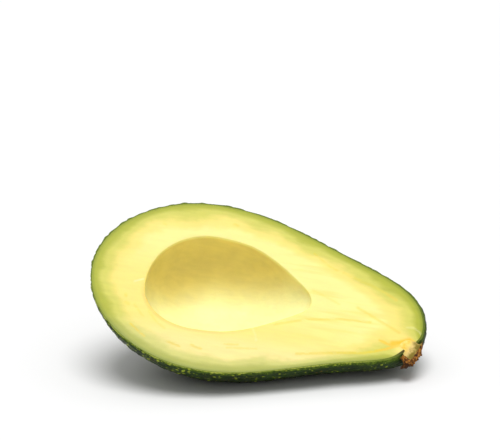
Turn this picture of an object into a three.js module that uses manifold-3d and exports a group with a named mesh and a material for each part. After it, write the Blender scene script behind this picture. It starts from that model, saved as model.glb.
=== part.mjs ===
// Half of a ripe green avocado, cut lengthwise with its stone taken out, lying on its skin.
// Millimetres, +Z up. The origin is on the surface that the half lies on, under its middle.
//
// Every piece is shaped in the fruit's own frame: x runs along the fruit's axis from the round
// end to the stem, y runs across it in the plane of the cut, and z points out of the cut face.
// The fruit is made whole there, with its skin, its stone and its stem, and then it is halved.

import * as THREE from "three";
import { mergeVertices } from "three/addons/utils/BufferGeometryUtils.js";
import Module from "manifold-3d";

const wasm = await Module();
wasm.setup();

// Driving dimensions of the fruit: its length, where its belly and neck are, and how wide they
// are. A reach is how far the outline keeps its direction there, and a fullness is how blunt an
// end is.
const FRUIT = {
  length: 124,
  roundEndFullness: 0.5523,
  bellyAt: 44.5,
  bellyRadius: 34.1,
  bellyReach: 17,
  neckAt: 92,
  neckRadius: 22.7,
  neckSlope: 0.3,
  neckReach: 16,
  tipReach: 18,
  tipFullness: 16.4,
};

// The stem end is drawn to one side, and the knife ran a little above the fruit's axis there.
// Its underside is skewed to the other side. The fruit is less deep than it is wide, and least so
// at the stem end.
const STEM_END = { drawnFrom: 60, drop: 4, skew: 0.25 };
const KNIFE_LEAN_DEG = 5;
const DEPTH_SHARE = { belly: 0.96, stemEnd: 0.84 };

const PEEL_THICKNESS = 0.9;
const CLEARANCE = 0.3;

// The hollow that the stone leaves: round at one end, drawn out to a point at the stem end,
// and fuller on one side of the fruit's axis than on the other
const STONE = {
  startAt: 20.4,
  length: 59.5,
  roundEndFullness: 0.58,
  widestAt: 21,
  radius: 18.8,
  widestReach: 10,
  taperAt: 48,
  taperRadius: 10.7,
  taperSlope: 0.66,
  taperReach: 10,
  pointReach: 8,
  pointFullness: 3.2,
  offAxis: -0.5,
  fullSideShare: 1.09,
  flatSideShare: 0.91,
  skew: 0.12,
  depthShare: 0.94,
};

// The stub of the stem: its root is sunk in the flesh, and its torn end is wider than its waist
const STEM = {
  at: new THREE.Vector2(116.4, -12.7),
  turnDeg: -34,
  rootDepth: 5,
  rootRadius: 2.6,
  waistRadius: 4.3,
  waistHeight: 0.4,
  flareRadius: 6.2,
  flareHeight: 2.4,
  endHeight: 4.6,
  endRadius: 4.3,
  tears: 7,
  tearDepth: 0.5,
  broadTears: 2,
  broadTearShare: 0.6,
  broadTearStart: 1,
  stepsPerTear: 4,
};

// How the half lies: its cut face leans to the front, and its stem end points down along the cut
const LIE = { tiltDeg: 42, stemDownDeg: 14.5 };
const FLAT_SPOT_DEPTH = 2;

const ROUND_STEPS = 44;
const STEPS_PER_CURVE = 12;
const STONE_ROUND_STEPS = 36;
const STONE_STEPS_PER_CURVE = 8;
const STEM_STEPS_PER_CURVE = 5;
const FAR = 400;

// Colours and roughnesses seen in daylight
const PEEL_LOOK = { color: 0x1f3a12, roughness: 0.4 };
const FLESH_LOOK = { color: 0xf2e38c, roughness: 0.5 };
const STEM_LOOK = { color: 0x7a4a1e, roughness: 0.85 };

const lieTurn = new THREE.Euler(
  THREE.MathUtils.degToRad(LIE.tiltDeg),
  0,
  THREE.MathUtils.degToRad(-LIE.stemDownDeg),
);
const upInFruit = new THREE.Vector3(0, 0, 1).applyQuaternion(
  new THREE.Quaternion().setFromEuler(lieTurn).invert(),
);

// The outline of a pear-shaped body from its round end to its narrow one, as radius against
// distance along the axis, by way of its widest place and its neck
function pearOutline({ length, roundness, wide, wideReach, neck, slope, neckReach, tipReach, tip }) {
  return [
    new THREE.CubicBezierCurve(
      new THREE.Vector2(0, 0),
      new THREE.Vector2(wide.x * roundness, 0),
      new THREE.Vector2(wide.x, wide.y * (1 - roundness)),
      wide,
    ),
    new THREE.CubicBezierCurve(
      wide,
      new THREE.Vector2(wide.x, wide.y + wideReach),
      new THREE.Vector2(neck.x + slope * neckReach, neck.y - neckReach),
      neck,
    ),
    new THREE.CubicBezierCurve(
      neck,
      new THREE.Vector2(neck.x - slope * tipReach, neck.y + tipReach),
      new THREE.Vector2(tip, length),
      new THREE.Vector2(0, length),
    ),
  ];
}

function fruitOutline() {
  return pearOutline({
    length: FRUIT.length,
    roundness: FRUIT.roundEndFullness,
    wide: new THREE.Vector2(FRUIT.bellyRadius, FRUIT.bellyAt),
    wideReach: FRUIT.bellyReach,
    neck: new THREE.Vector2(FRUIT.neckRadius, FRUIT.neckAt),
    slope: FRUIT.neckSlope,
    neckReach: FRUIT.neckReach,
    tipReach: FRUIT.tipReach,
    tip: FRUIT.tipFullness,
  });
}

function stoneOutline() {
  return pearOutline({
    length: STONE.length,
    roundness: STONE.roundEndFullness,
    wide: new THREE.Vector2(STONE.radius, STONE.widestAt),
    wideReach: STONE.widestReach,
    neck: new THREE.Vector2(STONE.taperRadius, STONE.taperAt),
    slope: STONE.taperSlope,
    neckReach: STONE.taperReach,
    tipReach: STONE.pointReach,
    tip: STONE.pointFullness,
  });
}

// Points along an outline of several curves, moved inwards by inset
function outlinePoints(curves, steps, inset = 0) {
  const points = [];
  curves.forEach((curve, index) => {
    for (let i = index ? 1 : 0; i <= steps; i += 1) {
      const tangent = curve.getTangent(i / steps);
      const inward = new THREE.Vector2(-tangent.y, tangent.x);
      points.push(curve.getPoint(i / steps).addScaledVector(inward, inset));
    }
  });
  points[0].x = 0;
  points[points.length - 1].x = 0;
  return points;
}

// A closed body turned about the x axis from an outline that starts and ends on it
function turned(points, roundSteps) {
  const lathe = new THREE.LatheGeometry(points, roundSteps);
  lathe.deleteAttribute("normal");
  lathe.deleteAttribute("uv");
  lathe.rotateZ(-Math.PI / 2);
  return mergeVertices(lathe);
}

// Calls move on each vertex of a geometry
function reshape(geometry, move) {
  const position = geometry.getAttribute("position");
  const point = new THREE.Vector3();
  for (let i = 0; i < position.count; i += 1) {
    point.fromBufferAttribute(position, i);
    move(point);
    position.setXYZ(i, point.x, point.y, point.z);
  }
  return geometry;
}

function solidOf(geometry) {
  const { array } = geometry.getAttribute("position");
  const mesh = { numProp: 3, vertProperties: array, triVerts: geometry.getIndex().array };
  return new wasm.Manifold(new wasm.Mesh(mesh));
}

function geometryOf(solid) {
  const mesh = solid.getMesh();
  const indexed = new THREE.BufferGeometry();
  indexed.setAttribute("position", new THREE.BufferAttribute(mesh.vertProperties, 3));
  indexed.setIndex(new THREE.BufferAttribute(mesh.triVerts, 1));
  const geometry = indexed.toNonIndexed();
  geometry.computeVertexNormals();
  return geometry;
}

// The whole fruit's form, a distance inset below its skin
function wholeFruit(inset) {
  const geometry = turned(outlinePoints(fruitOutline(), STEPS_PER_CURVE, inset), ROUND_STEPS);
  const lean = Math.tan(THREE.MathUtils.degToRad(KNIFE_LEAN_DEG));
  return reshape(geometry, (p) => {
    const drawn = Math.max(0, (p.x - STEM_END.drawnFrom) / (FRUIT.length - STEM_END.drawnFrom));
    const pastBelly = THREE.MathUtils.smoothstep(p.x, FRUIT.bellyAt, FRUIT.length);
    const depthShare = THREE.MathUtils.lerp(DEPTH_SHARE.belly, DEPTH_SHARE.stemEnd, pastBelly);
    p.z = p.z * depthShare - (p.x - FRUIT.bellyAt) * lean;
    p.y -= (STEM_END.drop + STEM_END.skew * p.z) * drawn ** 2;
  });
}

function lowestHeight(geometry) {
  let lowest = Infinity;
  reshape(geometry, (p) => {
    lowest = Math.min(lowest, p.dot(upInFruit));
  });
  return lowest;
}

const flatHeight = lowestHeight(wholeFruit(0)) + FLAT_SPOT_DEPTH;

// Everything within FAR on the upper side of a plane that is square to up, at a height along it
function spaceAbove(up, height) {
  const box = new THREE.BoxGeometry(FAR, FAR, FAR).translate(0, 0, FAR / 2 + height);
  box.deleteAttribute("normal");
  box.deleteAttribute("uv");
  const turn = new THREE.Quaternion().setFromUnitVectors(new THREE.Vector3(0, 0, 1), up);
  return solidOf(mergeVertices(box.applyQuaternion(turn)));
}

// The fruit has settled under its own weight, so that it is flat where it touches the surface
function settledFruit(inset) {
  return solidOf(wholeFruit(inset)).intersect(spaceAbove(upInFruit, flatHeight + inset));
}

function stone() {
  const s = STONE;
  const geometry = turned(outlinePoints(stoneOutline(), STONE_STEPS_PER_CURVE), STONE_ROUND_STEPS);
  return reshape(geometry, (p) => {
    p.x += s.startAt + p.y * s.skew;
    p.y = s.offAxis + p.y * (p.y > 0 ? s.fullSideShare : s.flatSideShare);
    p.z *= s.depthShare;
  });
}

// The stem's stub with its torn edge, made larger all round by clearance
function stemStub(clearance) {
  const s = STEM;
  const profile = new THREE.Path()
    .moveTo(0, -s.rootDepth - clearance)
    .lineTo(s.rootRadius + clearance, -s.rootDepth - clearance)
    .quadraticCurveTo(
      s.waistRadius + clearance,
      -s.rootDepth / 2,
      s.waistRadius + clearance,
      s.waistHeight,
    )
    .quadraticCurveTo(
      s.waistRadius + clearance,
      s.flareHeight - clearance,
      s.flareRadius + clearance,
      s.flareHeight - clearance,
    )
    .lineTo(s.endRadius + clearance, s.endHeight + clearance)
    .lineTo(0, s.endHeight + clearance);
  const geometry = turned(profile.getPoints(STEM_STEPS_PER_CURVE), s.tears * s.stepsPerTear);
  const turn = new THREE.Matrix4()
    .makeRotationZ(THREE.MathUtils.degToRad(s.turnDeg))
    .setPosition(s.at.x, s.at.y, 0);
  reshape(geometry, (p) => {
    const radius = Math.hypot(p.y, p.z);
    const angle = Math.atan2(p.z, p.y);
    const edge = THREE.MathUtils.smoothstep(radius, s.waistRadius, s.flareRadius);
    const broad = s.broadTearShare * Math.sin(s.broadTears * angle + s.broadTearStart);
    const tear = s.tearDepth * edge * (Math.sin(s.tears * angle) + broad);
    p.x += tear;
    p.y += tear * Math.cos(angle);
    p.z += tear * Math.sin(angle);
  });
  return geometry.applyMatrix4(turn);
}

const kept = spaceAbove(new THREE.Vector3(0, 0, -1), 0);
const socket = solidOf(stemStub(CLEARANCE));

function peel() {
  const skin = settledFruit(0).subtract(settledFruit(PEEL_THICKNESS));
  return skin.intersect(kept).subtract(socket);
}

function flesh() {
  const inside = settledFruit(PEEL_THICKNESS + CLEARANCE);
  return inside.subtract(solidOf(stone())).intersect(kept).subtract(socket);
}

function stem() {
  return solidOf(stemStub(0)).intersect(kept);
}

function piece(name, solid, look) {
  const material = new THREE.MeshStandardMaterial({ ...look, metalness: 0 });
  const mesh = new THREE.Mesh(geometryOf(solid), material);
  mesh.name = name;
  return mesh;
}

const half = new THREE.Group();
half.add(
  piece("peel", peel(), PEEL_LOOK),
  piece("flesh", flesh(), FLESH_LOOK),
  piece("stem", stem(), STEM_LOOK),
);
half.rotation.copy(lieTurn);

// The half is set down with the middle of its bounding box over the origin
const avocado = new THREE.Group();
avocado.add(half);
const bounds = new THREE.Box3().setFromObject(half, true);
const middle = bounds.getCenter(new THREE.Vector3());
half.position.set(-middle.x, -middle.y, -bounds.min.z);

export default avocado;
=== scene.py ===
"""Half of a ripe green avocado, cut lengthwise with its stone taken out, lying on a pale table."""

import math

import bmesh
import bpy
from bpy.props import FloatProperty, FloatVectorProperty, IntProperty, PointerProperty
from mathutils import Euler, Matrix, Vector, noise
from mathutils.geometry import interpolate_bezier
from mathutils.kdtree import KDTree


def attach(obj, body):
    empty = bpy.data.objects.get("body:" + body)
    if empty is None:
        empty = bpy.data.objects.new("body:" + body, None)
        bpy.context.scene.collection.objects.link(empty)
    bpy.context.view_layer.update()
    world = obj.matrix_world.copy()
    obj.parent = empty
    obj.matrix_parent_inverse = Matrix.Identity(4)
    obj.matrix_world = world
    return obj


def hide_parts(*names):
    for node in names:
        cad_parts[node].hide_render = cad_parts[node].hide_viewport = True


bl_info = {
    "name": "Avocado half",
    "version": (1, 0, 0),
    "blender": (4, 5, 0),
    "location": "3D View > Sidebar > Avocado",
    "description": "Makes the peel, flesh and stem of a halved avocado, and the table it lies on",
    "category": "Object",
}

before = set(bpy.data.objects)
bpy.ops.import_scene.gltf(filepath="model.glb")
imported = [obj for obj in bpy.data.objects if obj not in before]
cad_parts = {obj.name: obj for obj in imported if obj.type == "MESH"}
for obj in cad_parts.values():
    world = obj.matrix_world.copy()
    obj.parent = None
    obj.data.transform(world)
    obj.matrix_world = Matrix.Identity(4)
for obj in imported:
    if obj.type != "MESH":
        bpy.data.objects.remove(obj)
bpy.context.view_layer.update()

MM = 0.001
BODY = "root"
UP = Vector((0, 0, 1))


# The half is shaped in the fruit's own frame: x runs along its axis from the round end to the
# stem, y runs across it in the plane of the cut, and z points out of the cut face.

ALONG = 0
ACROSS = 1

# How finely each body is divided: steps in each stretch of its outline, and faces round it

SKIN_STEPS = (84, 340)
PEEL_INSIDE_STEPS = (30, 128)
FLESH_STEPS = (40, 160)
HOLLOW_STEPS = (40, 160)
CUT_LINE_STEPS = (70, 96)
STEM_AROUND = 140
MERGED = 0.001 * MM

# The width of the faces of the knife's surface, by the piece that it cuts

PEEL_CELL = 0.5 * MM
FLESH_CELL = 0.45 * MM
STEM_CELL = 0.35 * MM


def length_prop(name, description, millimetres):
    return FloatProperty(
        name=name, description=description, default=millimetres * MM, unit="LENGTH", precision=5
    )


def share_prop(name, description, default):
    return FloatProperty(name=name, description=description, default=default)


def angle_prop(name, description, degrees):
    return FloatProperty(
        name=name, description=description, default=math.radians(degrees), subtype="ANGLE"
    )


def colour_prop(name, description, red, green, blue):
    return FloatVectorProperty(
        name=name,
        description=description,
        default=(red, green, blue, 1.0),
        size=4,
        min=0,
        max=1,
        subtype="COLOR",
    )


class AvocadoFruit(bpy.types.PropertyGroup):
    """The form of the fruit, and how its half lies"""

    lie_tilt: angle_prop("Tilt", "How far the cut face leans to the front", 42)
    stem_down: angle_prop("Stem down", "How far the stem end points down along the cut", 14.5)
    length: length_prop("Length", "From the round end to the stem end", 124)
    round_fullness: share_prop("Round end", "How blunt the round end is", 0.5523)
    belly_at: length_prop("Belly at", "Where the fruit is widest", 44.5)
    belly_radius: length_prop("Belly radius", "Half the width of the belly", 34.1)
    belly_reach: length_prop("Belly reach", "How far the belly keeps its width", 17)
    neck_at: length_prop("Neck at", "Where the neck is", 92)
    neck_radius: length_prop("Neck radius", "Half the width of the neck", 22.7)
    neck_slope: share_prop("Neck slope", "How fast the neck narrows", 0.3)
    neck_reach: length_prop("Neck reach", "How far the neck keeps its slope", 16)
    tip_reach: length_prop("Tip reach", "How far the slope goes on past the neck", 18)
    tip_fullness: length_prop("Tip fullness", "How blunt the stem end is", 16.4)
    drawn_from: length_prop("Drawn from", "Where the stem end starts to be drawn aside", 60)
    drop: length_prop("Drop", "How far the stem end is drawn aside", 4)
    skew: share_prop("Skew", "How far the stem end's underside leans to the other side", 0.25)
    knife_lean: angle_prop("Knife lean", "The angle of the cut to the fruit's axis", 5)
    belly_depth: share_prop("Belly depth", "Depth to width at the belly", 0.96)
    stem_depth: share_prop("Stem end depth", "Depth to width at the stem end", 0.84)
    peel: length_prop("Peel", "Thickness of the peel", 0.9)
    back_off: length_prop("Back off", "How far its smooth tip is moved back to stay in the box", 0.35)


class AvocadoHollow(bpy.types.PropertyGroup):
    """The hollow that the stone leaves"""

    start: length_prop("Start", "Where the hollow starts along the fruit", 20.9)
    length: length_prop("Length", "From its round end to its point", 59.5)
    round_fullness: share_prop("Round end", "How blunt the round end is", 0.58)
    wide_at: length_prop("Widest at", "Where the hollow is widest", 21)
    radius: length_prop("Radius", "Half its greatest width", 18.8)
    wide_reach: length_prop("Wide reach", "How far it keeps its width", 10)
    taper_at: length_prop("Taper at", "Where it narrows to its point", 48)
    taper_radius: length_prop("Taper radius", "Half its width there", 10.7)
    taper_slope: share_prop("Taper slope", "How fast it narrows", 0.66)
    taper_reach: length_prop("Taper reach", "How far it keeps that slope", 10)
    point_reach: length_prop("Point reach", "How far the slope goes on", 8)
    point_fullness: length_prop("Point fullness", "How blunt the point is", 3.2)
    off_axis: length_prop("Off axis", "How far it lies beside the fruit's axis", -0.5)
    full_side: share_prop("Full side", "Width on its full side", 1.09)
    flat_side: share_prop("Flat side", "Width on its flat side", 0.91)
    skew: share_prop("Skew", "How far its full side leans to the stem", 0.12)
    depth: share_prop("Depth", "Depth to width", 0.94)
    lip: length_prop("Lip", "Radius of the rounded rim", 0.65)


class AvocadoStem(bpy.types.PropertyGroup):
    """The stub of the stem"""

    along: length_prop("Along", "Where the stub leaves the fruit, along the axis", 116.4)
    across: length_prop("Across", "Where the stub leaves the fruit, across the axis", -12.7)
    turn: angle_prop("Turn", "The stub's angle to the fruit's axis", -34)
    waist: length_prop("Waist", "Radius of the stub at its waist", 4.3)
    waist_height: length_prop("Waist height", "Where the waist is", 0.4)
    flare: length_prop("Flare", "Radius of the torn rim", 6.3)
    flare_height: length_prop("Flare height", "Where the torn rim is", 2.45)
    end: length_prop("End", "Radius of the torn end", 4.6)
    end_height: length_prop("End height", "How far the torn end stands out", 4.6)
    dimple_depth: length_prop("Dimple", "How far the fruit is drawn in round the stem", 1.9)
    dimple_width: length_prop("Dimple width", "Half the width of the drawn-in part", 5.5)
    fibres: IntProperty(name="Fibres", description="Torn fibres round the rim", default=9)


class AvocadoColours(bpy.types.PropertyGroup):
    """Colours, as light reflected"""

    cream: colour_prop("Cream", "Flesh in the middle of the cut", 0.95, 0.86, 0.3)
    butter: colour_prop("Butter", "Flesh round the cream", 0.93, 0.77, 0.2)
    pale: colour_prop("Pale green", "Flesh between butter and lime", 0.67, 0.64, 0.11)
    lime: colour_prop("Lime", "Flesh near the peel", 0.44, 0.465, 0.03)
    green: colour_prop("Green", "Flesh right under the peel", 0.3, 0.35, 0.012)
    # Lit and shaded copies of the hollow's flesh: the lower wall carries painted light, the upper wall
    # painted shade
    hollow_lit: colour_prop("Hollow, low", "Lower wall of the hollow", 0.98, 0.93, 0.43)
    hollow_shaded: colour_prop("Hollow, high", "Upper wall of the hollow", 0.84, 0.68, 0.18)
    lip: colour_prop("Lip", "Flesh round the rim of the hollow", 0.86, 0.56, 0.1)
    stain: colour_prop("Stain", "Strands that have browned", 0.82, 0.63, 0.005)
    orange: colour_prop("Orange", "Strands that run into the stem", 0.98, 0.56, 0.015)
    scratch: colour_prop("Scratch", "Pale lines that the knife left", 0.95, 0.92, 0.5)
    skin: colour_prop("Skin", "Peel", 0.008, 0.021, 0.001)
    skin_light: colour_prop("Light skin", "Lighter patches of the peel", 0.022, 0.055, 0.002)
    speck: colour_prop("Speck", "Specks on the peel", 0.36, 0.44, 0.03)
    knob: colour_prop("Knob", "Knobs of the peel beside the cut", 0.12, 0.19, 0.008)
    scab: colour_prop("Scab", "Corky specks on the peel", 0.26, 0.12, 0.03)
    peel_cut: colour_prop("Cut peel", "Peel where the knife went through", 0.13, 0.18, 0.01)
    peel_pale: colour_prop("Pale peel", "Paler streaks of the cut peel", 0.36, 0.39, 0.05)
    bark: colour_prop("Bark", "Torn end of the stem", 0.5, 0.2, 0.03)
    # On the torn end this dark is painted shade, in the hollows of its grain and on its low side
    bark_dark: colour_prop("Dark bark", "Hollows of the torn end", 0.05, 0.018, 0.005)
    pith: colour_prop("Pith", "Stem where the knife went through", 0.82, 0.6, 0.2)
    pith_green: colour_prop("Green pith", "Greener strands of the cut stem", 0.27, 0.2, 0.03)


class AvocadoStage(bpy.types.PropertyGroup):
    """Camera, lights and table"""

    azimuth: angle_prop("Azimuth", "Where the camera stands round the half", -11.2)
    elevation: angle_prop("Elevation", "How high the camera stands", 22)
    distance: length_prop("Distance", "From the camera to the half", 800)
    lens: FloatProperty(name="Lens", description="Focal length in millimetres", default=159.4)
    aim_x: length_prop("Aim x", "Where the camera looks", -2.4)
    aim_z: length_prop("Aim z", "How high the camera looks", 55.6)
    table: colour_prop("Table", "Colour of the table", 0.88, 0.88, 0.88)
    softbox: FloatProperty(name="Softbox", description="Strength of the main light", default=2.0)
    softness: angle_prop("Softness", "How wide the main light is", 36)
    shine: FloatVectorProperty(
        name="Shine",
        description="Where the main light shines to",
        default=(0.0, 0.19, -1),
        subtype="DIRECTION",
    )
    sky: FloatVectorProperty(
        name="Sky",
        description="Heights where the light from all round starts and ends to grow, and its strengths",
        default=(0.15, 0.8, 0.11, 0.73),
        size=4,
    )


GROUPS = {
    "avocado_fruit": AvocadoFruit,
    "avocado_hollow": AvocadoHollow,
    "avocado_stem": AvocadoStem,
    "avocado_colours": AvocadoColours,
    "avocado_stage": AvocadoStage,
}


def blend(a, b, share):
    return a + (b - a) * share


def smooth(low, high, value):
    """0 at low, 1 at high, and an even curve between them"""
    share = min(1.0, max(0.0, (value - low) / (high - low)))
    return share * share * (3 - 2 * share)


# Outlines: lists of points along x and away from it, from the round end to the narrow one


def pear_outline(length, roundness, wide, wide_reach, neck, slope, neck_reach, tip_reach, tip, steps):
    """The outline of a pear-shaped body, by way of its widest place and its neck"""
    start = Vector((0, 0, 0))
    end = Vector((length, 0, 0))
    parts = [
        (
            start,
            Vector((0, wide.y * roundness, 0)),
            Vector((wide.x * (1 - roundness), wide.y, 0)),
            wide,
        ),
        (
            wide,
            Vector((wide.x + wide_reach, wide.y, 0)),
            Vector((neck.x - neck_reach, neck.y + slope * neck_reach, 0)),
            neck,
        ),
        (
            neck,
            Vector((neck.x + tip_reach, neck.y - slope * tip_reach, 0)),
            Vector((length, tip, 0)),
            end,
        ),
    ]
    points = [start]
    for knots in parts:
        points += interpolate_bezier(*knots, steps + 1)[1:]
    return points


def inset_outline(points, inset):
    """The outline moved inwards, with its ends still on the axis"""
    moved = []
    for i, point in enumerate(points):
        tangent = points[min(i + 1, len(points) - 1)] - points[max(i - 1, 0)]
        inward = Vector((tangent.y, -tangent.x, 0)).normalized()
        moved.append(point + inward * inset)
    moved[0] = Vector((inset, 0, 0))
    moved[-1] = Vector((points[-1].x - inset, 0, 0))
    return moved


def fruit_outline(fruit, inset, steps):
    points = pear_outline(
        fruit.length,
        fruit.round_fullness,
        Vector((fruit.belly_at, fruit.belly_radius, 0)),
        fruit.belly_reach,
        Vector((fruit.neck_at, fruit.neck_radius, 0)),
        fruit.neck_slope,
        fruit.neck_reach,
        fruit.tip_reach,
        fruit.tip_fullness,
        steps,
    )
    return inset_outline(points, inset)


def hollow_outline(hollow, steps):
    return pear_outline(
        hollow.length,
        hollow.round_fullness,
        Vector((hollow.wide_at, hollow.radius, 0)),
        hollow.wide_reach,
        Vector((hollow.taper_at, hollow.taper_radius, 0)),
        hollow.taper_slope,
        hollow.taper_reach,
        hollow.point_reach,
        hollow.point_fullness,
        steps,
    )


# Bodies, each a bmesh in the fruit's own frame


def turned_body(outline, around):
    """A closed body of revolution about the x axis, from an outline that starts and ends on it"""
    bm = bmesh.new()
    rings = len(outline) - 1
    bmesh.ops.create_grid(bm, x_segments=rings, y_segments=around, size=1)
    for vert in bm.verts:
        ring = round((vert.co.x + 1) / 2 * rings)
        angle = vert.co.y * math.pi
        x, radius, _ = outline[ring]
        vert.co = (x, radius * math.cos(angle), radius * math.sin(angle))
    bmesh.ops.remove_doubles(bm, verts=bm.verts, dist=MERGED)
    bmesh.ops.recalc_face_normals(bm, faces=bm.faces)
    return bm


def fruit_place(fruit):
    """Where the fruit's own frame lies: turned as it lies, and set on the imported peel"""
    tilt = Euler((fruit.lie_tilt, 0, 0)).to_matrix()
    turn = tilt @ Euler((0, 0, -fruit.stem_down)).to_matrix()
    back = turn.inverted()
    corners = [back @ v.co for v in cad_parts["peel"].data.vertices]
    low = Vector(map(min, zip(*corners)))
    high = Vector(map(max, zip(*corners)))
    start = Vector((low.x, (low.y + high.y) / 2, high.z))
    return Matrix.Translation(turn @ start - fruit.back_off * Vector((1, 0, 0))) @ turn.to_4x4()


def form_fruit(bm, fruit):
    """Leans, draws out and deepens a turned body into the fruit's own form"""
    lean = math.tan(fruit.knife_lean)
    for vert in bm.verts:
        p = vert.co
        drawn = max(0.0, (p.x - fruit.drawn_from) / (fruit.length - fruit.drawn_from))
        past_belly = smooth(fruit.belly_at, fruit.length, p.x)
        p.z = p.z * blend(fruit.belly_depth, fruit.stem_depth, past_belly)
        p.z -= (p.x - fruit.belly_at) * lean
        p.y -= (fruit.drop + fruit.skew * p.z) * drawn**2


def settle(bm, place, height):
    """Presses a body up to a height above the table, so that it is flat where it lies"""
    up = place.to_3x3().inverted() @ UP
    lift = place.translation.z
    for vert in bm.verts:
        low = height - (vert.co.dot(up) + lift)
        if low > 0:
            vert.co += up * low


DIMPLE_REACH = 3


def dimple(bm, stem):
    """Draws the fruit in round the stem, out to a few widths of the dimple"""
    root = Vector((stem.along, stem.across, 0))
    axis = Vector((math.cos(stem.turn), math.sin(stem.turn), 0))
    for vert in bm.verts:
        beside = vert.co - root
        if beside.length > DIMPLE_REACH * stem.dimple_width:
            continue
        beside -= axis * beside.dot(axis)
        vert.co -= axis * stem.dimple_depth * math.exp(-((beside.length / stem.dimple_width) ** 2))


# The skin's relief: pebbles with furrows between them, over wrinkles and swells. Depths are in
# millimetres.

PEBBLE = 2.4 * MM
PEBBLE_DRAWN_OUT = 0.6
FURROW_WIDTH = 0.45
FURROW_DEPTH = 0.26
WRINKLE_LENGTH = 5.5 * MM
WRINKLE_WIDTH = 1.7 * MM
WRINKLE_DEPTH = 0.27
SWELL = 9 * MM
SWELL_DEPTH = 0.16
WAVE_TOP = 0.7
SMOOTHER_FROM = 70 * MM
SMOOTHEST_AT = 120 * MM
SMOOTHEST = 0.4
DEEPEST = 0.72


def skin_relief(p):
    """How far the skin lies below its highest bumps"""
    drawn_out = Vector((p.x * PEBBLE_DRAWN_OUT, p.y, p.z))
    near, second, *_ = noise.voronoi(drawn_out / PEBBLE)[0]
    furrow = 1 - smooth(0.0, FURROW_WIDTH, second - near)
    wrinkle = noise.noise(Vector((p.x / WRINKLE_LENGTH, p.y / WRINKLE_WIDTH, p.z / WRINKLE_WIDTH)))
    swell = noise.noise(p / SWELL)
    waves = WRINKLE_DEPTH * max(0.0, WAVE_TOP - wrinkle) + SWELL_DEPTH * max(0.0, WAVE_TOP - swell)
    smoother = 1 - SMOOTHEST * smooth(SMOOTHER_FROM, SMOOTHEST_AT, p.x)
    return min(DEEPEST, (FURROW_DEPTH * furrow + waves) * smoother) * MM


def whole_fruit(fruit, inset, steps, around):
    bm = turned_body(fruit_outline(fruit, inset, steps), around)
    form_fruit(bm, fruit)
    return bm


# The knife's relief: broad waves, the lines that it dragged, a fine grain, and one step below the
# hollow where it was set on again. Depths are in millimetres.

BROAD_DEPTH = 0.09
DRAG_DEPTH = 0.03
DRAG_SLANT = 0.06
GRAIN_DEPTH = 0.012
STEP_DEPTH = 0.12
STEP_FROM = 61.4 * MM
STEP_TO = 62.2 * MM
STEP_GONE_AT = 70 * MM
STEP_SLANT = 0.35
STEP_FOOT = -16 * MM
STEP_MIDDLE = -16.5 * MM
STEP_REACH = 4 * MM


def knife_waves(x, y, length, width, layer):
    """From 0 to 2, in waves with a length along x and a width along y"""
    return 1 + noise.noise(Vector((x / length, y / width, layer)))


def knife_relief(x, y):
    """How far the knife's surface lies below the plane of the cut"""
    broad = knife_waves(x, y, 26 * MM, 19 * MM, 0.3)
    drag = knife_waves(x, y + DRAG_SLANT * x, 20 * MM, 1.3 * MM, 4.2)
    grain = knife_waves(x, y, 2.2 * MM, 1.4 * MM, 9.1)
    step = smooth(STEP_FROM, STEP_TO, x + STEP_SLANT * (y - STEP_FOOT))
    step *= 1 - smooth(STEP_TO, STEP_GONE_AT, x)
    near = math.exp(-(((y - STEP_MIDDLE) / STEP_REACH) ** 2))
    waves = BROAD_DEPTH * broad + DRAG_DEPTH * drag + GRAIN_DEPTH * grain
    return (waves + STEP_DEPTH * step * near) * MM


# The block of everything below the knife's surface, larger than the half

KNIFE_LENGTH = 138 * MM
KNIFE_WIDTH = 96 * MM
KNIFE_DEPTH = 60 * MM
KNIFE_MIDDLE = 61 * MM


def knife_block(cell, relief=knife_relief):
    """Everything below the knife's surface, which has a fine grid of faces"""
    bm = bmesh.new()
    bmesh.ops.create_grid(
        bm,
        x_segments=round(KNIFE_LENGTH / cell),
        y_segments=round(KNIFE_WIDTH / cell),
        size=0.5,
        matrix=Matrix.Diagonal((KNIFE_LENGTH, KNIFE_WIDTH, 1, 1)),
    )
    bmesh.ops.translate(bm, verts=bm.verts, vec=(KNIFE_MIDDLE, 0, 0))
    for vert in bm.verts:
        vert.co.z = -relief(vert.co.x, vert.co.y)
    rim = [edge for edge in bm.edges if edge.is_boundary]
    skirt = bmesh.ops.extrude_edge_only(bm, edges=rim)["geom"]
    for element in skirt:
        if isinstance(element, bmesh.types.BMVert):
            element.co.z = -KNIFE_DEPTH
    bmesh.ops.holes_fill(bm, edges=[edge for edge in bm.edges if edge.is_boundary])
    bmesh.ops.recalc_face_normals(bm, faces=bm.faces)
    return bm


# Where the rim of the hollow gets the rings that round it, as shares of the lip's radius, and the
# dents of its wall, with depths in millimetres

LIP_RINGS = (0, 0.06, 0.15, 0.28, 0.45, 0.65, 1)
DENT = 9 * MM
DENT_DEPTH = 0.16
SMALL_DENT = 3 * MM
SMALL_DENT_DEPTH = 0.05


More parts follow.
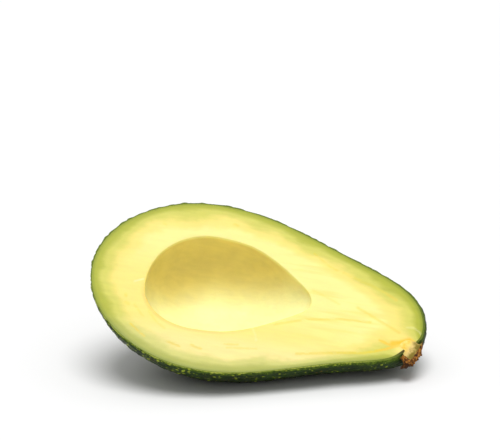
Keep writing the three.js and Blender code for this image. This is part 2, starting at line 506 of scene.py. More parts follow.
def stone_body(hollow, steps, around):
    """The stone, with its skirt flared where it meets the cut so that the rim is rounded"""
    bm = turned_body(hollow_outline(hollow, steps), around)
    for vert in bm.verts:
        p = vert.co
        p.x += hollow.start + p.y * hollow.skew
        p.y = hollow.off_axis + p.y * (hollow.full_side if p.y > 0 else hollow.flat_side)
        p.z *= hollow.depth
    for share in LIP_RINGS:
        bmesh.ops.bisect_plane(
            bm,
            geom=bm.verts[:] + bm.edges[:] + bm.faces[:],
            plane_co=(0, 0, -hollow.lip * share),
            plane_no=(0, 0, 1),
        )
    bm.normal_update()
    moves = []
    for vert in bm.verts:
        out = Vector((vert.normal.x, vert.normal.y, 0))
        under = min(1.0, max(0.0, 1 + vert.co.z / hollow.lip))
        flare = hollow.lip * (1 - math.sqrt(1 - under * under))
        dent = DENT_DEPTH * noise.noise(vert.co / DENT)
        dent += SMALL_DENT_DEPTH * noise.noise(vert.co / SMALL_DENT)
        moves.append(out.normalized() * flare * out.length + vert.normal * dent * MM)
    for vert, move in zip(bm.verts, moves):
        vert.co += move
    return bm


# Objects


def object_of(bm, name):
    mesh = bpy.data.meshes.new(name)
    bm.to_mesh(mesh)
    bm.free()
    obj = bpy.data.objects.new(name, mesh)
    bpy.context.scene.collection.objects.link(obj)
    return obj


def remove(obj):
    mesh = obj.data
    bpy.data.objects.remove(obj)
    bpy.data.meshes.remove(mesh)


def carve(obj, cutter, operation):
    """Cuts or keeps obj by another object, for good"""
    cut = obj.modifiers.new("Cut", "BOOLEAN")
    cut.operation = operation
    cut.solver = "MANIFOLD"
    cut.object = cutter
    depsgraph = bpy.context.evaluated_depsgraph_get()
    mesh = bpy.data.meshes.new_from_object(obj.evaluated_get(depsgraph))
    obj.modifiers.clear()
    plain = obj.data
    obj.data = mesh
    obj.data.materials.clear()
    bpy.data.meshes.remove(plain)


def finish_piece(obj, place, node, sharp_angle):
    """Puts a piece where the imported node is, shades it and gives it its body"""
    obj.data.transform(place)
    obj.data.shade_smooth()
    obj.data.set_sharp_from_angle(angle=sharp_angle)
    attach(obj, BODY)
    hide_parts(node)


def cut_loop(fruit, inset):
    """Where the skin, or a surface below it, meets the plane of the cut"""
    bm = whole_fruit(fruit, inset, *CUT_LINE_STEPS)
    cut = bmesh.ops.bisect_plane(
        bm,
        geom=bm.verts[:] + bm.edges[:] + bm.faces[:],
        plane_co=(0, 0, 0),
        plane_no=(0, 0, 1),
    )["geom_cut"]
    points = [v.co.copy() for v in cut if isinstance(v, bmesh.types.BMVert)]
    bm.free()
    return points


def nearest(points):
    tree = KDTree(len(points))
    for index, point in enumerate(points):
        tree.insert(point, index)
    tree.balance()
    return tree


def set_attribute(obj, name, values):
    attribute = obj.data.attributes.new(name, "FLOAT", "POINT")
    attribute.data.foreach_set("value", values)


# Finishes


class Finish:
    """A material's nodes, with short calls that add them"""

    def __init__(self, name):
        self.material = bpy.data.materials.new(name)
        self.material.use_nodes = True
        self.tree = self.material.node_tree
        self.tree.nodes.clear()

    def add(self, kind, inputs=None, output=0, **settings):
        node = self.tree.nodes.new("ShaderNode" + kind)
        for key, value in settings.items():
            setattr(node, key, value)
        for key, value in (inputs or {}).items():
            if isinstance(value, bpy.types.NodeSocket):
                self.tree.links.new(value, node.inputs[key])
            else:
                node.inputs[key].default_value = value
        return node.outputs[output] if node.outputs else None

    def points(self, place, stretch=(1, 1, 1)):
        """Points in the fruit's own frame, shrunk so that a pattern is drawn out by the stretch"""
        point = self.add("TexCoord", output="Object")
        own = self.add(
            "Mapping",
            {"Vector": point, "Location": place.translation, "Rotation": place.to_euler()},
            vector_type="TEXTURE",
        )
        return self.add("VectorMath", {0: own, 1: [1 / s for s in stretch]}, operation="MULTIPLY")

    def axis(self, vector, axis):
        return self.add("SeparateXYZ", {0: vector}, output=axis)

    def value(self, name):
        return self.add("Attribute", output="Fac", attribute_name=name)

    def maths(self, operation, a, b=0.0):
        return self.add("Math", {0: a, 1: b}, operation=operation)

    def between(self, value, low, high, out_low=0.0, out_high=1.0):
        """A smooth step from out_low to out_high as value goes from low to high"""
        inputs = {"Value": value, "From Min": low, "From Max": high}
        inputs |= {"To Min": out_low, "To Max": out_high}
        return self.add("MapRange", inputs, interpolation_type="SMOOTHSTEP")

    def noise(self, vector, size, detail=2.0, roughness=0.5):
        inputs = {"Vector": vector, "Scale": 1 / size, "Detail": detail, "Roughness": roughness}
        return self.add("TexNoise", inputs)

    def mix(self, share, a, b):
        """Two colours mixed; inputs 6 and 7 and output 2 of the node are its colours"""
        return self.add("Mix", {"Factor": share, 6: a, 7: b}, output=2, data_type="RGBA")

    def specks(self, vector, cell, largest):
        """Small spots of many sizes, up to a share of the cell that each lies in"""
        cells = {"Vector": vector, "Scale": 1 / cell}
        centre = self.add("TexVoronoi", cells, output="Distance")
        pick = self.add("SeparateColor", {0: self.add("TexVoronoi", cells, output="Color")})
        size = self.maths("MULTIPLY", self.between(pick, 0.15, 0.6), largest)
        return self.between(self.maths("SUBTRACT", size, centre), -0.03, 0.08)

    def ramp(self, value, *stops, span=1.0):
        """Colours at their places, from 0 to span, with even steps between them"""
        share = self.maths("DIVIDE", value, span)
        colour = self.add("ValToRGB", {"Fac": share})
        band = colour.node.color_ramp
        band.interpolation = "EASE"
        while len(band.elements) < len(stops):
            band.elements.new(1.0)
        for element, (place, tint) in zip(band.elements, stops):
            element.position = place / span
            element.color = tint
        return colour

    def bump(self, height, distance, strength=1.0, under=None):
        inputs = {"Height": height, "Distance": distance, "Strength": strength}
        if under is not None:
            inputs["Normal"] = under
        return self.add("Bump", inputs)

    def end(self, inputs):
        shader = self.add("BsdfPrincipled", inputs)
        self.add("OutputMaterial", {"Surface": shader})
        return self.material


# How far patterns are drawn out along the fruit

CLOUDS = (2, 1, 1)
FIBRES = (7, 1, 1)
STRANDS = (14, 1, 1)
BREAKS = (2.5, 1, 1)
SPECKS = (1.3, 1, 1)


def flesh_bands(f, colours, place, along, across):
    """Green right under the peel to cream inside, with strands of butter towards the neck"""
    clouds = f.noise(f.points(place, CLOUDS), 7 * MM, 3)
    depth = f.value("skin_depth")
    wander = f.maths("MULTIPLY", f.between(clouds, 0.0, 1.0, -3.0, 3.0), f.between(depth, 0.3, 5.0))
    bands_in = f.maths("DIVIDE", f.maths("ADD", depth, wander), f.value("band"))
    colour = f.ramp(
        bands_in,
        (0.0, colours.green),
        (0.15, colours.lime),
        (0.44, colours.pale),
        (0.95, colours.butter),
        (1.45, colours.cream),
        span=2.0,
    )
    low_side = f.maths("ADD", across, f.maths("MULTIPLY", along, 0.3))
    warm = f.between(low_side, 26 * MM, 2 * MM, 0.0, 0.9)
    warm = f.maths("MULTIPLY", warm, f.between(bands_in, 0.8, 1.3))
    colour = f.mix(warm, colour, colours.butter)
    strands = f.noise(f.points(place, STRANDS), 2.6 * MM, 2)
    to_neck = f.maths("MULTIPLY", f.between(along, 55 * MM, 85 * MM), f.between(bands_in, 0.7, 1.3))
    strands = f.maths("MULTIPLY", f.between(strands, 0.48, 0.68), to_neck)
    return f.mix(f.maths("MULTIPLY", strands, 0.7), colour, colours.butter)


def hollow_wall(f, colours, own, along, across):
    """The wall of the hollow, with painted light and shade: pale and lit on its low side, shaded deeper
    on its high one and towards the round end
    """
    # Painted shade: from the lit colour on the low side to the shaded one on the high side, and more
    # shade towards the round end
    shade = f.maths("ADD", across, f.maths("MULTIPLY", f.between(along, 50 * MM, 20 * MM), 10 * MM))
    wall = f.mix(f.between(shade, -1 * MM, 14.5 * MM), colours.hollow_lit, colours.hollow_shaded)
    # Random patches of the painted shade colour over the wall
    mottle = f.noise(own, 3.5 * MM, 4, 0.6)
    wall = f.mix(f.between(mottle, 0.4, 0.8, 0.0, 0.2), wall, colours.hollow_shaded)
    cloud = f.between(f.noise(own, 7 * MM, 2), 0.3, 0.7, 0.96, 1.04)
    return f.add("HueSaturation", {"Color": wall, "Value": cloud})


def hollow_lip(f, along, across):
    """How strongly the rim of the hollow is tinted, most on its low side at the round end"""
    lip = f.between(f.maths("ABSOLUTE", f.value("rim_gap")), 1.2, 0.1)
    round_end = f.between(along, 70 * MM, 40 * MM, 0.0, 0.5)
    low_side = f.between(across, 2 * MM, -10 * MM, 0.15, 1.0)
    return f.maths("MULTIPLY", lip, f.maths("MULTIPLY", low_side, round_end))


def cut_marks(f, colours, place, along, colour):
    """A colour with the browned strands, the orange ones at the stem and the pale lines on it"""
    marks = f.value("marks")
    strand = f.mix(f.between(along, 104 * MM, 110 * MM), colours.stain, colours.orange)
    broken = f.between(f.noise(f.points(place, BREAKS), 1.0 * MM, 3), 0.28, 0.5)
    broken = f.maths("MAXIMUM", broken, f.between(along, 106 * MM, 111 * MM, 0.0, 0.9))
    browned = f.maths("MULTIPLY", f.maths("MAXIMUM", marks, 0.0), broken)
    scratched = f.maths("MAXIMUM", f.maths("MULTIPLY", marks, -1.0), 0.0)
    colour = f.mix(browned, colour, strand)
    return f.mix(scratched, colour, colours.scratch)


def flesh_finish(colours, place):
    f = Finish("cut flesh")
    own = f.points(place)
    along = f.axis(own, ALONG)
    across = f.axis(own, ACROSS)
    colour = flesh_bands(f, colours, place, along, across)
    wall = hollow_wall(f, colours, own, along, across)
    colour = f.mix(f.between(f.value("rim_gap"), -0.2, -2.0), colour, wall)
    colour = f.mix(hollow_lip(f, along, across), colour, colours.lip)
    colour = cut_marks(f, colours, place, along, colour)
    fibres = f.noise(f.points(place, FIBRES), 1.6 * MM, 3)
    grain = f.between(f.noise(own, 0.4 * MM, 3, 0.7), 0.3, 0.7, -0.012, 0.012)
    streak = f.maths("ADD", f.between(fibres, 0.25, 0.75, 0.965, 1.02), grain)
    milky = f.between(across, -14 * MM, -24 * MM, 1.0, 0.86)
    colour = f.add("HueSaturation", {"Color": colour, "Value": streak, "Saturation": milky})
    normal = f.bump(fibres, 0.06 * MM, 0.5)
    normal = f.bump(f.noise(own, 0.5 * MM, 2), 0.03 * MM, 0.5, normal)
    return f.end(
        {
            "Base Color": colour,
            "Roughness": 0.42,
            "Specular IOR Level": 0.22,
            "Subsurface Weight": 0.3,
            "Subsurface Radius": (1.0, 0.75, 0.25),
            "Subsurface Scale": 2.5 * MM,
            "Normal": normal,
        }
    )


def skin_specks(f, own, drawn_out):
    """Where the small and the larger specks of the skin are, both finer towards the neck"""
    to_neck = f.between(f.axis(own, ALONG), 20 * MM, 80 * MM)
    fine_size = f.add("MapRange", {"Value": to_neck, "To Min": 0.3, "To Max": 0.18})
    coarse_size = f.add("MapRange", {"Value": to_neck, "To Min": 0.36, "To Max": 0.3})
    fine = f.specks(drawn_out, 1.1 * MM, fine_size)
    coarse = f.specks(drawn_out, 1.45 * MM, coarse_size)
    return f.maths("MAXIMUM", fine, coarse)


def skin_finish(colours, place):
    f = Finish("peel skin")
    own = f.points(place)
    patches = f.between(f.noise(own, 7 * MM, 3), 0.3, 0.8)
    wobble = f.add("TexNoise", {"Vector": own, "Scale": 1 / MM, "Detail": 2.0}, output="Color")
    shift = f.add("VectorMath", {0: wobble, 1: (0.6 * MM,) * 3}, operation="MULTIPLY")
    drawn_out = f.add("VectorMath", {0: f.points(place, SPECKS), 1: shift}, operation="ADD")
    speck = skin_specks(f, own, drawn_out)
    scab = f.between(f.noise(own, 6 * MM, 1), 0.62, 0.68)
    depth = f.value("skin_depth")
    knobs = f.between(f.noise(own, 1.1 * MM, 2), 0.4, 0.58)
    knobs = f.maths("MULTIPLY", knobs, f.between(depth, 3.2, 0.4, 0.0, 0.8))
    base = f.mix(patches, colours.skin, colours.skin_light)
    base = f.mix(f.between(depth, 2.4, 0.2, 0.0, 0.4), base, colours.knob)
    base = f.mix(knobs, base, colours.knob)
    normal = f.bump(f.noise(drawn_out, 0.9 * MM, 3, 0.6), 0.3 * MM, 0.6)
    normal = f.bump(speck, 0.15 * MM, 0.8, normal)
    gloss = f.between(f.noise(own, 2 * MM, 2), 0.3, 0.7, 0.28, 0.4)
    return f.end(
        {
            "Base Color": f.mix(speck, base, f.mix(scab, colours.speck, colours.scab)),
            "Roughness": f.maths("MAXIMUM", gloss, f.between(depth, 5.0, 1.0, 0.3, 0.8)),
            "Specular IOR Level": 0.2,
            "Normal": normal,
        }
    )


def peel_cut_finish(colours, place):
    f = Finish("cut peel")
    own = f.points(place)
    grain = f.noise(own, 0.7 * MM, 3)
    ragged = f.maths("MULTIPLY", f.maths("SUBTRACT", grain, 0.5), 0.5)
    depth = f.maths("ADD", f.value("skin_depth"), ragged)
    low_side = f.between(f.axis(own, ACROSS), 0, -16 * MM)
    low_side = f.maths("MULTIPLY", low_side, f.between(f.axis(own, ALONG), 110 * MM, 95 * MM))
    pale = f.maths("MULTIPLY", f.between(grain, 0.3, 0.6), low_side)
    colour = f.mix(pale, colours.peel_cut, colours.peel_pale)
    colour = f.mix(f.between(depth, 0.7, 0.85), colour, colours.peel_cut)
    colour = f.mix(f.between(depth, 0.4, 0.2), colour, colours.skin)
    colour = f.mix(f.value("stem_near"), colour, colours.bark_dark)
    return f.end(
        {
            "Base Color": colour,
            "Roughness": 0.5,
            "Specular IOR Level": 0.14,
            "Normal": f.bump(grain, 0.08 * MM, 0.6),
        }
    )


def stem_finish(colours, place):
    f = Finish("torn stem")
    own = f.points(place)
    grain = f.noise(own, 0.8 * MM, 4, 0.65)
    patches = f.noise(own, 2.4 * MM, 2)
    # Painted shade: more dark bark on the stub's low side and in the hollows of the grain, which the
    # bump follows too; the lit bark is on the grain's tops
    low_side = f.between(f.axis(own, ACROSS), -16 * MM, -19 * MM, 0.0, 0.18)
    lit_bark = f.between(f.maths("SUBTRACT", grain, low_side), 0.38, 0.6)
    bark = f.mix(lit_bark, colours.bark_dark, colours.bark)
    outwards = f.maths("ADD", f.value("along"), f.maths("MULTIPLY", patches, 3.0))
    green = f.maths("ADD", f.between(outwards, 1.6, 4.2), f.between(patches, 0.35, 0.7, -0.4, 0.4))
    pith = f.mix(green, colours.pith, colours.pith_green)
    strands = f.between(f.noise(own, 3 * MM, 2), 0.4, 0.7)
    root = f.mix(strands, colours.butter, colours.orange)
    pith = f.mix(f.between(outwards, 2.6, -0.2), pith, root)
    ragged = f.maths("ADD", f.value("cut"), f.maths("MULTIPLY", f.maths("SUBTRACT", grain, 0.5), 0.7))
    return f.end(
        {
            "Base Color": f.mix(f.between(ragged, 0.35, 0.65), bark, pith),
            "Roughness": 0.75,
            "Specular IOR Level": 0.2,
            "Normal": f.bump(grain, 0.35 * MM, 0.8),
        }
    )


def table_finish(colour):
    f = Finish("table")
    return f.end({"Base Color": colour, "Roughness": 0.7, "Specular IOR Level": 0.2})


# Strands and marks on the cut face, as points along and across the fruit in millimetres, then
# half a width and a strength, which is below nought for a pale line

MARKS = [
    ([(17.6, -19.5), (20.1, -21.5), (23.1, -23.5)], 0.36, 0.95),
    ([(31.4, -24.2), (33.3, -24.8), (36.0, -25.4)], 0.36, 0.9),
    ([(39.9, -24.1), (41.8, -24.9), (43.4, -25.1)], 0.4, 0.8),
    ([(51.5, -21.9), (56.2, -21.3)], 0.36, 0.55),
    ([(52.4, -23.1), (63.1, -21.7)], 0.34, 0.5),
    ([(14.7, -11.5), (15.9, -12)], 0.58, 0.3),
    ([(17.9, -11.8), (21.7, -16.1)], 0.36, 0.3),
    ([(23.4, -13.6), (26.3, -17.1), (29.8, -19.4)], 0.36, 0.3),
    ([(14.4, -8.4), (14.6, -9)], 0.58, 0.4),
    ([(77.2, -21.3), (91.1, -18.6), (102, -16.7), (108.4, -14.2), (113.1, -12)], 0.5, 0.65),
    ([(68.3, -11.1), (78.9, -7.4), (91.6, -5), (102.4, -4.4)], 0.43, 0.42),
    ([(80.8, 4.7), (85.4, 3), (90.6, 0.9)], 0.43, 0.22),
    ([(97.3, 0.6), (106.6, -3.7), (113.1, -6.8)], 0.5, 0.42),
    ([(106.5, -10.9), (109.5, -12), (110.9, -12.2)], 0.58, 0.7),
    ([(111.2, -11.4), (113.9, -10.7), (116.9, -9.3), (118.6, -10.2)], 1.1, 0.95),
    ([(115.4, -10.6), (116.4, -12.3), (116, -14.4)], 1.0, 0.8),
    ([(79.7, 19.7), (86, 15.3), (88.8, 14.2)], 0.36, 0.4),
    ([(91, 13.7), (98, 11.4), (105, 9.1), (111.1, 6.1)], 0.58, 0.25),
    ([(49.5, 26.6), (51, 26.2)], 0.43, 0.4),
    ([(24.2, 22.3), (25, 22)], 0.43, 0.25),
    ([(16.9, -2.7), (19.7, -1.3)], 0.35, -0.5),
    ([(60.6, -13.9), (61.9, -16.3), (62.4, -18.5)], 0.4, -0.25),
    ([(115.6, -4.2), (118.2, -4), (120.3, -5.2), (122.1, -7.5)], 0.3, -0.28),
]


# How far beyond its ends a mark is looked for, and the gap where there is none, in millimetres

MARK_REACH = 3
FAR_FROM_MARKS = 99.0


def mark_gap(points, p):
    """The distance from a point to the nearest stretch of a mark"""
    if not points[0][0] - MARK_REACH < p.x < points[-1][0] + MARK_REACH:
        return FAR_FROM_MARKS
    best = FAR_FROM_MARKS
    for (ax, ay), (bx, by) in zip(points, points[1:]):
        dx, dy = bx - ax, by - ay
        share = ((p.x - ax) * dx + (p.y - ay) * dy) / (dx * dx + dy * dy)
        share = min(1.0, max(0.0, share))
        best = min(best, math.hypot(p.x - ax - dx * share, p.y - ay - dy * share))
    return best


# Where a mark starts to fade and where it ends, as shares of half its width

MARK_CORE = 0.3
MARK_FADE = 1.6


def marks_at(co):
    """The strength of the strongest mark at a point of the cut face"""
    p = co / MM
    strengths = [0.0]
    for points, half_width, strength in MARKS:
        gap = mark_gap(points, p)
        strengths.append(strength * (1 - smooth(half_width * MARK_CORE, half_width * MARK_FADE, gap)))
    return max(strengths, key=abs)


def stem_nearness(co, stem, reach):
    root = Vector((stem.along, stem.across, 0))
    return math.exp(-(((co - root).length / reach) ** 2))


# Operators: the peel, with which of its faces are the cut

PEEL_STEM_REACH = 4 * MM
CUT_FACING = 0.8
CUT_DEPTH = 0.6 * MM
PEEL_SHARP = math.radians(45)


class AVOCADO_OT_peel(bpy.types.Operator):
    """Makes the peel of the half, with its relief and its cut rim"""

    bl_idname = "avocado.peel"
    bl_label = "Peel"

    def execute(self, context):
        scene = context.scene
        fruit = scene.avocado_fruit
        stem = scene.avocado_stem
        colours = scene.avocado_colours
        place = fruit_place(fruit)
        outer = whole_fruit(fruit, 0, *SKIN_STEPS)
        dimple(outer, stem)
        outer.normal_update()
        for vert in outer.verts:
            vert.co -= vert.normal * skin_relief(vert.co)
        settle(outer, place, 0)
        inner = whole_fruit(fruit, fruit.peel, *PEEL_INSIDE_STEPS)
        dimple(inner, stem)
        settle(inner, place, fruit.peel)
        peel = object_of(outer, "peel_skin")
        flesh_space = object_of(inner, "flesh space")
        knife = object_of(knife_block(PEEL_CELL), "knife")
        carve(peel, flesh_space, "DIFFERENCE")
        carve(peel, knife, "INTERSECT")
        remove(flesh_space)
        remove(knife)
        rim = nearest(cut_loop(fruit, 0))
        depths = [rim.find(vert.co)[2] / MM for vert in peel.data.vertices]
        near = [stem_nearness(vert.co, stem, PEEL_STEM_REACH) for vert in peel.data.vertices]
        set_attribute(peel, "skin_depth", depths)
        set_attribute(peel, "stem_near", near)
        peel.data.materials.append(skin_finish(colours, place))
        peel.data.materials.append(peel_cut_finish(colours, place))
        for polygon in peel.data.polygons:
            on_cut = polygon.normal.z > CUT_FACING and polygon.center.z > -CUT_DEPTH
            polygon.material_index = int(on_cut)
        finish_piece(peel, place, "peel", PEEL_SHARP)
        return {"FINISHED"}


# The width of the green band under the peel, and how much wider it is in parts, in millimetres

BAND = 7.4
BAND_LOW_LEFT = 2.5
BAND_LOW_RIGHT = -3.4
BAND_TIP = 4.5
BAND_ROUND_END = 3.0


def band_width(p):
    """How wide the green band is next to a point of the cut face"""
    low_left = smooth(0, -20 * MM, p.y) * smooth(55 * MM, 25 * MM, p.x)
    low_right = smooth(0, -18 * MM, p.y) * smooth(60 * MM, 80 * MM, p.x)
    tip = smooth(85 * MM, 122 * MM, p.x)
    round_end = smooth(22 * MM, 4 * MM, p.x)
    sides = BAND_LOW_LEFT * low_left + BAND_LOW_RIGHT * low_right
    return BAND + sides + BAND_TIP * tip + BAND_ROUND_END * round_end


# The flesh, with how far the stem reaches into it and where its face and the hollow's wall start

FLESH_GAP = 0.02 * MM
FLESH_STEM_REACH = 4.5 * MM
FLESH_STEM_DEPTH = 9
FLESH_SHARP = math.radians(50)
ON_RIM = 0.01 * MM
WALL_FROM = 0.25 * MM
FACE_TO = 0.4 * MM


class AVOCADO_OT_flesh(bpy.types.Operator):
    """Makes the flesh of the half, with the hollow that the stone leaves"""

    bl_idname = "avocado.flesh"
    bl_label = "Flesh"

    def execute(self, context):
        scene = context.scene
        fruit = scene.avocado_fruit
        hollow = scene.avocado_hollow
        place = fruit_place(fruit)
        inset = fruit.peel + FLESH_GAP
        inner = whole_fruit(fruit, inset, *FLESH_STEPS)
        dimple(inner, scene.avocado_stem)
        settle(inner, place, inset)
        flesh = object_of(inner, "flesh_half")
        stone = object_of(stone_body(hollow, *HOLLOW_STEPS), "stone")
        knife = object_of(knife_block(FLESH_CELL), "knife")
        carve(flesh, stone, "DIFFERENCE")
        carve(flesh, knife, "INTERSECT")
        rim_points = [v.co.copy() for v in stone.data.vertices if abs(v.co.z) < ON_RIM]
        remove(stone)
        remove(knife)
        self.mark(flesh, scene, inset, rim_points)
        flesh.data.materials.append(flesh_finish(scene.avocado_colours, place))
        finish_piece(flesh, place, "flesh", FLESH_SHARP)
        return {"FINISHED"}

    def mark(self, flesh, scene, inset, rim_points):
        """Gives each vertex its depths from skin and hollow, in millimetres, its marks and its band"""
        fruit, hollow, stem = scene.avocado_fruit, scene.avocado_hollow, scene.avocado_stem
        outline = hollow_outline(hollow, HOLLOW_STEPS[0])
        skin = nearest(cut_loop(fruit, inset))
        rim = nearest(rim_points)
        depths, gaps, marks, bands = [], [], [], []
        for vert in flesh.data.vertices:
            p = vert.co
            flat = Vector((p.x, p.y, 0))
            by_stem = FLESH_STEM_DEPTH * stem_nearness(flat, stem, FLESH_STEM_REACH)
            depths.append(skin.find(flat)[2] / MM + by_stem)
            in_hollow = p.z < -WALL_FROM and inside_stone(p, hollow, outline)
            gaps.append(p.z / MM if in_hollow else rim.find(flat)[2] / MM)
            marks.append(marks_at(p) if p.z > -FACE_TO else 0.0)
            bands.append(band_width(p))
        set_attribute(flesh, "skin_depth", depths)
        set_attribute(flesh, "rim_gap", gaps)
        set_attribute(flesh, "marks", marks)
        set_attribute(flesh, "band", bands)


# How far outside the form of the hollow a point still counts as on its wall

WALL_MARGIN = 1.2 * MM
END_MARGIN = 1 * MM
END_RADIUS = 4 * MM
LEAST_STEP = 1e-9


def inside_stone(p, hollow, outline):
    """Whether a point is in the hollow or on its wall"""
    y = p.y - hollow.off_axis
    y /= hollow.full_side if y > 0 else hollow.flat_side
    x = p.x - hollow.start - y * hollow.skew
    radius = math.hypot(y, p.z / hollow.depth)
    for a, b in zip(outline, outline[1:]):
        if a.x <= x <= b.x:
            share = (x - a.x) / max(b.x - a.x, LEAST_STEP)
            return radius < blend(a.y, b.y, share) + WALL_MARGIN
    return -END_MARGIN < x < hollow.length + END_MARGIN and radius < END_RADIUS


# The stem: where its cut face is torn away, and the fibres of its rim, point, hook and end, with
# how far they are torn out in millimetres

ROOT_STEPS = 18
FLARE_STEPS = 15
RIM_STEPS = 12
END_STEPS = 16
END_TEAR_FROM = 2.4 * MM
END_TEAR_TO = 5.4 * MM
END_TEAR_SLANT = 0.15
LOW_TEAR_FROM = -0.8 * MM
LOW_TEAR_TO = -5.4 * MM
FACE_DEEPEST = -2.2 * MM
FACE_WHOLE_AT = -0.6 * MM
RIM_EDGE = 0.7 * MM
TEAR_DEPTH = 2.4
TEAR_GRAIN = 1.1 * MM
TEAR_ROUGHNESS = 0.4
PITH_PROUD = 0.03
ROOT = 3 * MM
ROOT_FULLNESS = 0.7
RIM_LEAN = Vector((0.7, 0, 0))
RIM_SPREAD = 0.6
RIM_WAVES = 0.3
POINT_WIDTH = 0.25
POINT_OUT = 0.8
HOOK_WIDTH = 0.3
HOOK_OUT = 1.1
HOOK_BACK = 1.3
END_ROUGHNESS = 0.8
END_CROWN = 0.6
SIDE_ROUGHNESS = 0.12
STEM_SHARP = math.radians(40)


class AVOCADO_OT_stem(bpy.types.Operator):
    """Makes the stub of the stem, cut through with the fruit and torn at its end"""

    bl_idname = "avocado.stem"
    bl_label = "Stem"

    def execute(self, context):
        scene = context.scene
        stem = scene.avocado_stem
        place = fruit_place(scene.avocado_fruit)
        bm = turned_body(self.outline(stem), STEM_AROUND)
        self.tear(bm, stem)
        turn = Matrix.Translation((stem.along, stem.across, 0)) @ Matrix.Rotation(stem.turn, 4, "Z")
        back = turn.inverted()
        bmesh.ops.transform(bm, matrix=turn, verts=bm.verts)
        stub = object_of(bm, "stem_stub")

        def torn_relief(x, y):
            p = back @ Vector((x, y, 0))
            rough = 1 + TEAR_ROUGHNESS * noise.noise(Vector((x, y, 0)) / TEAR_GRAIN)
            return knife_relief(x, y) + (TEAR_DEPTH * self.torn(p) * rough - PITH_PROUD) * MM

        knife = object_of(knife_block(STEM_CELL, torn_relief), "knife")
        carve(stub, knife, "INTERSECT")
        remove(knife)
        cut, along = [], []
        for vert in stub.data.vertices:
            p = back @ vert.co
            on_face = smooth(FACE_DEEPEST, FACE_WHOLE_AT, p.z)
            on_face *= smooth(0, RIM_EDGE, stem.flare - abs(p.y))
            whole = 1 - smooth(0.05, 0.5, self.torn(p))
            cut.append(on_face * whole)
            along.append(p.x / MM)
        set_attribute(stub, "cut", cut)
        set_attribute(stub, "along", along)
        stub.data.materials.append(stem_finish(scene.avocado_colours, place))
        finish_piece(stub, place, "stem", STEM_SHARP)
        return {"FINISHED"}

    def torn(self, p):
        """How far the cut face of the stub is torn away at a point, towards its end and low side"""
        end = smooth(END_TEAR_FROM, END_TEAR_TO, p.x + END_TEAR_SLANT * p.y)
        low = smooth(LOW_TEAR_FROM, LOW_TEAR_TO, p.y)
        return min(1.0, end + low)

    def outline(self, stem):
        """Half the stub's width along it: a round root, a waist, a flared rim and a blunt end"""
        root = Vector((-ROOT, 0, 0))
        waist = Vector((stem.waist_height, stem.waist, 0))
        rim = Vector((stem.flare_height, stem.flare, 0))
        end_edge = Vector((stem.end_height, stem.end, 0))
        end = Vector((stem.end_height, 0, 0))
        root_side = Vector((-ROOT, stem.waist * ROOT_FULLNESS, 0))
        flare_out = Vector((stem.flare_height, stem.waist, 0))
        points = interpolate_bezier(root, root_side, waist.lerp(root_side, 0.4), waist, ROOT_STEPS)
        points += interpolate_bezier(waist, waist.lerp(flare_out, 0.7), flare_out, rim, FLARE_STEPS)[1:]
        points += [rim.lerp(end_edge, (i + 1) / RIM_STEPS) for i in range(RIM_STEPS)]
        points += [end_edge.lerp(end, (i + 1) / END_STEPS) for i in range(END_STEPS)]
        return points

    def tear(self, bm, stem):
        """Draws the rim and the end out into torn fibres, with a point and a hook in the cut"""
        for vert in bm.verts:
            p = vert.co
            radius = math.hypot(p.y, p.z)
            angle = math.atan2(p.z, p.y)
            outward = Vector((0, math.cos(angle), math.sin(angle)))
            edge = smooth(stem.waist, stem.flare, radius) * smooth(0, stem.flare_height, p.x)
            face = smooth(stem.flare_height, stem.end_height, p.x)
            crown = 1 - (radius / stem.end) ** 2
            fibres = math.sin(stem.fibres * angle) + 0.6 * math.sin(2 * angle + 1)
            ragged = noise.noise(Vector((angle * 3.1, radius / (1.2 * MM), p.x / (2 * MM))))
            rough = noise.noise(p / (0.9 * MM)) + 0.5 * noise.noise(p / (0.4 * MM))
            point = math.exp(-((angle / POINT_WIDTH) ** 2))
            hook = math.exp(-(((math.pi - abs(angle)) / HOOK_WIDTH) ** 2))
            p += (outward * RIM_SPREAD + RIM_LEAN) * edge * (RIM_WAVES * fibres + ragged) * MM
            p += outward * edge * (POINT_OUT * point + HOOK_OUT * hook) * MM
            p.x -= HOOK_BACK * MM * edge * hook
            p.x += END_ROUGHNESS * MM * face * (rough + END_CROWN * crown)
            p += outward * SIDE_ROUGHNESS * rough * MM


# The stage: half the table and the nearest that the camera sees in metres, its sensor in millimetres

TABLE_HALF = 3
SENSOR_WIDTH = 36
NEAREST_SEEN = 0.01
CAMERA_CIRCLE_HEIGHT = 26 * MM


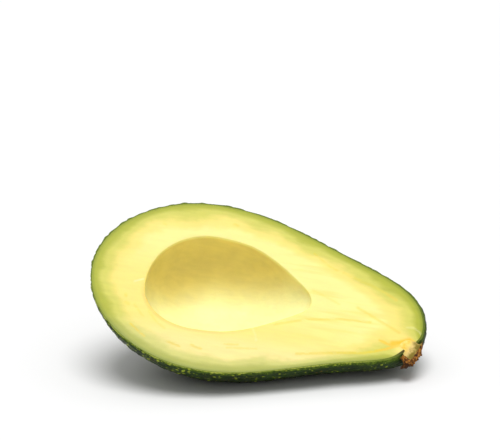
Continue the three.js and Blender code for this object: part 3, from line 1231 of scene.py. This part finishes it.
class AVOCADO_OT_stage(bpy.types.Operator):
    """Makes the table, the lights and the camera"""

    bl_idname = "avocado.stage"
    bl_label = "Stage"

    def execute(self, context):
        scene = context.scene
        stage = scene.avocado_stage
        self.table(stage)
        self.sun(stage)
        self.surroundings(scene, stage)
        self.camera(scene, stage)
        return {"FINISHED"}

    def table(self, stage):
        bm = bmesh.new()
        bmesh.ops.create_grid(bm, x_segments=1, y_segments=1, size=TABLE_HALF)
        table = object_of(bm, "table")
        table.data.materials.append(table_finish(stage.table))

    def sun(self, stage):
        lamp = bpy.data.lights.new("softbox", "SUN")
        lamp.energy = stage.softbox
        lamp.angle = stage.softness
        obj = bpy.data.objects.new("softbox", lamp)
        shine = Vector(stage.shine)
        obj.rotation_euler = shine.to_track_quat("-Z", "Y").to_euler()
        bpy.context.scene.collection.objects.link(obj)

    def surroundings(self, scene, stage):
        """Light from all round, strong overhead and weak near the table; the camera sees white"""
        world = bpy.data.worlds.new("studio")
        world.use_nodes = True
        tree = world.node_tree
        background = tree.nodes["Background"]
        background.inputs["Color"].default_value = (1, 1, 1, 1)
        height = tree.nodes.new("ShaderNodeSeparateXYZ")
        tree.links.new(tree.nodes.new("ShaderNodeTexCoord").outputs["Generated"], height.inputs[0])
        strength = tree.nodes.new("ShaderNodeMapRange")
        tree.links.new(height.outputs["Z"], strength.inputs["Value"])
        for name, value in zip(("From Min", "From Max", "To Min", "To Max"), stage.sky):
            strength.inputs[name].default_value = value
        seen = tree.nodes.new("ShaderNodeMath")
        seen.operation = "MAXIMUM"
        light_path = tree.nodes.new("ShaderNodeLightPath")
        tree.links.new(light_path.outputs["Is Camera Ray"], seen.inputs[0])
        tree.links.new(strength.outputs[0], seen.inputs[1])
        tree.links.new(seen.outputs[0], background.inputs["Strength"])
        scene.world = world
        scene.view_settings.view_transform = "Standard"

    def camera(self, scene, stage):
        lens = bpy.data.cameras.new("camera")
        lens.lens = stage.lens
        lens.sensor_width = SENSOR_WIDTH
        lens.clip_start = NEAREST_SEEN
        camera = bpy.data.objects.new("camera", lens)
        level = math.cos(stage.elevation)
        across = math.sin(stage.azimuth) * level
        forward = -math.cos(stage.azimuth) * level
        back = Vector((across, forward, math.sin(stage.elevation)))
        camera.location = CAMERA_CIRCLE_HEIGHT * UP + back * stage.distance
        aim = Vector((stage.aim_x, 0, stage.aim_z)) - camera.location
        camera.rotation_euler = aim.to_track_quat("-Z", "Y").to_euler()
        scene.collection.objects.link(camera)
        scene.camera = camera


class AVOCADO_PT_panel(bpy.types.Panel):
    """Lists the pieces of the half and the stage"""

    bl_label = "Avocado half"
    bl_idname = "AVOCADO_PT_panel"
    bl_space_type = "VIEW_3D"
    bl_region_type = "UI"
    bl_category = "Avocado"

    def draw(self, context):
        for operator in OPERATORS:
            self.layout.operator(operator.bl_idname)


OPERATORS = (AVOCADO_OT_peel, AVOCADO_OT_flesh, AVOCADO_OT_stem, AVOCADO_OT_stage)
CLASSES = (*GROUPS.values(), *OPERATORS, AVOCADO_PT_panel)


def register():
    for cls in CLASSES:
        bpy.utils.register_class(cls)
    for name, group in GROUPS.items():
        setattr(bpy.types.Scene, name, PointerProperty(type=group))


def unregister():
    for name in GROUPS:
        delattr(bpy.types.Scene, name)
    for cls in reversed(CLASSES):
        bpy.utils.unregister_class(cls)


def main():
    register()
    bpy.ops.avocado.peel()
    bpy.ops.avocado.flesh()
    bpy.ops.avocado.stem()
    bpy.ops.avocado.stage()


if __name__ == "__main__":
    main()
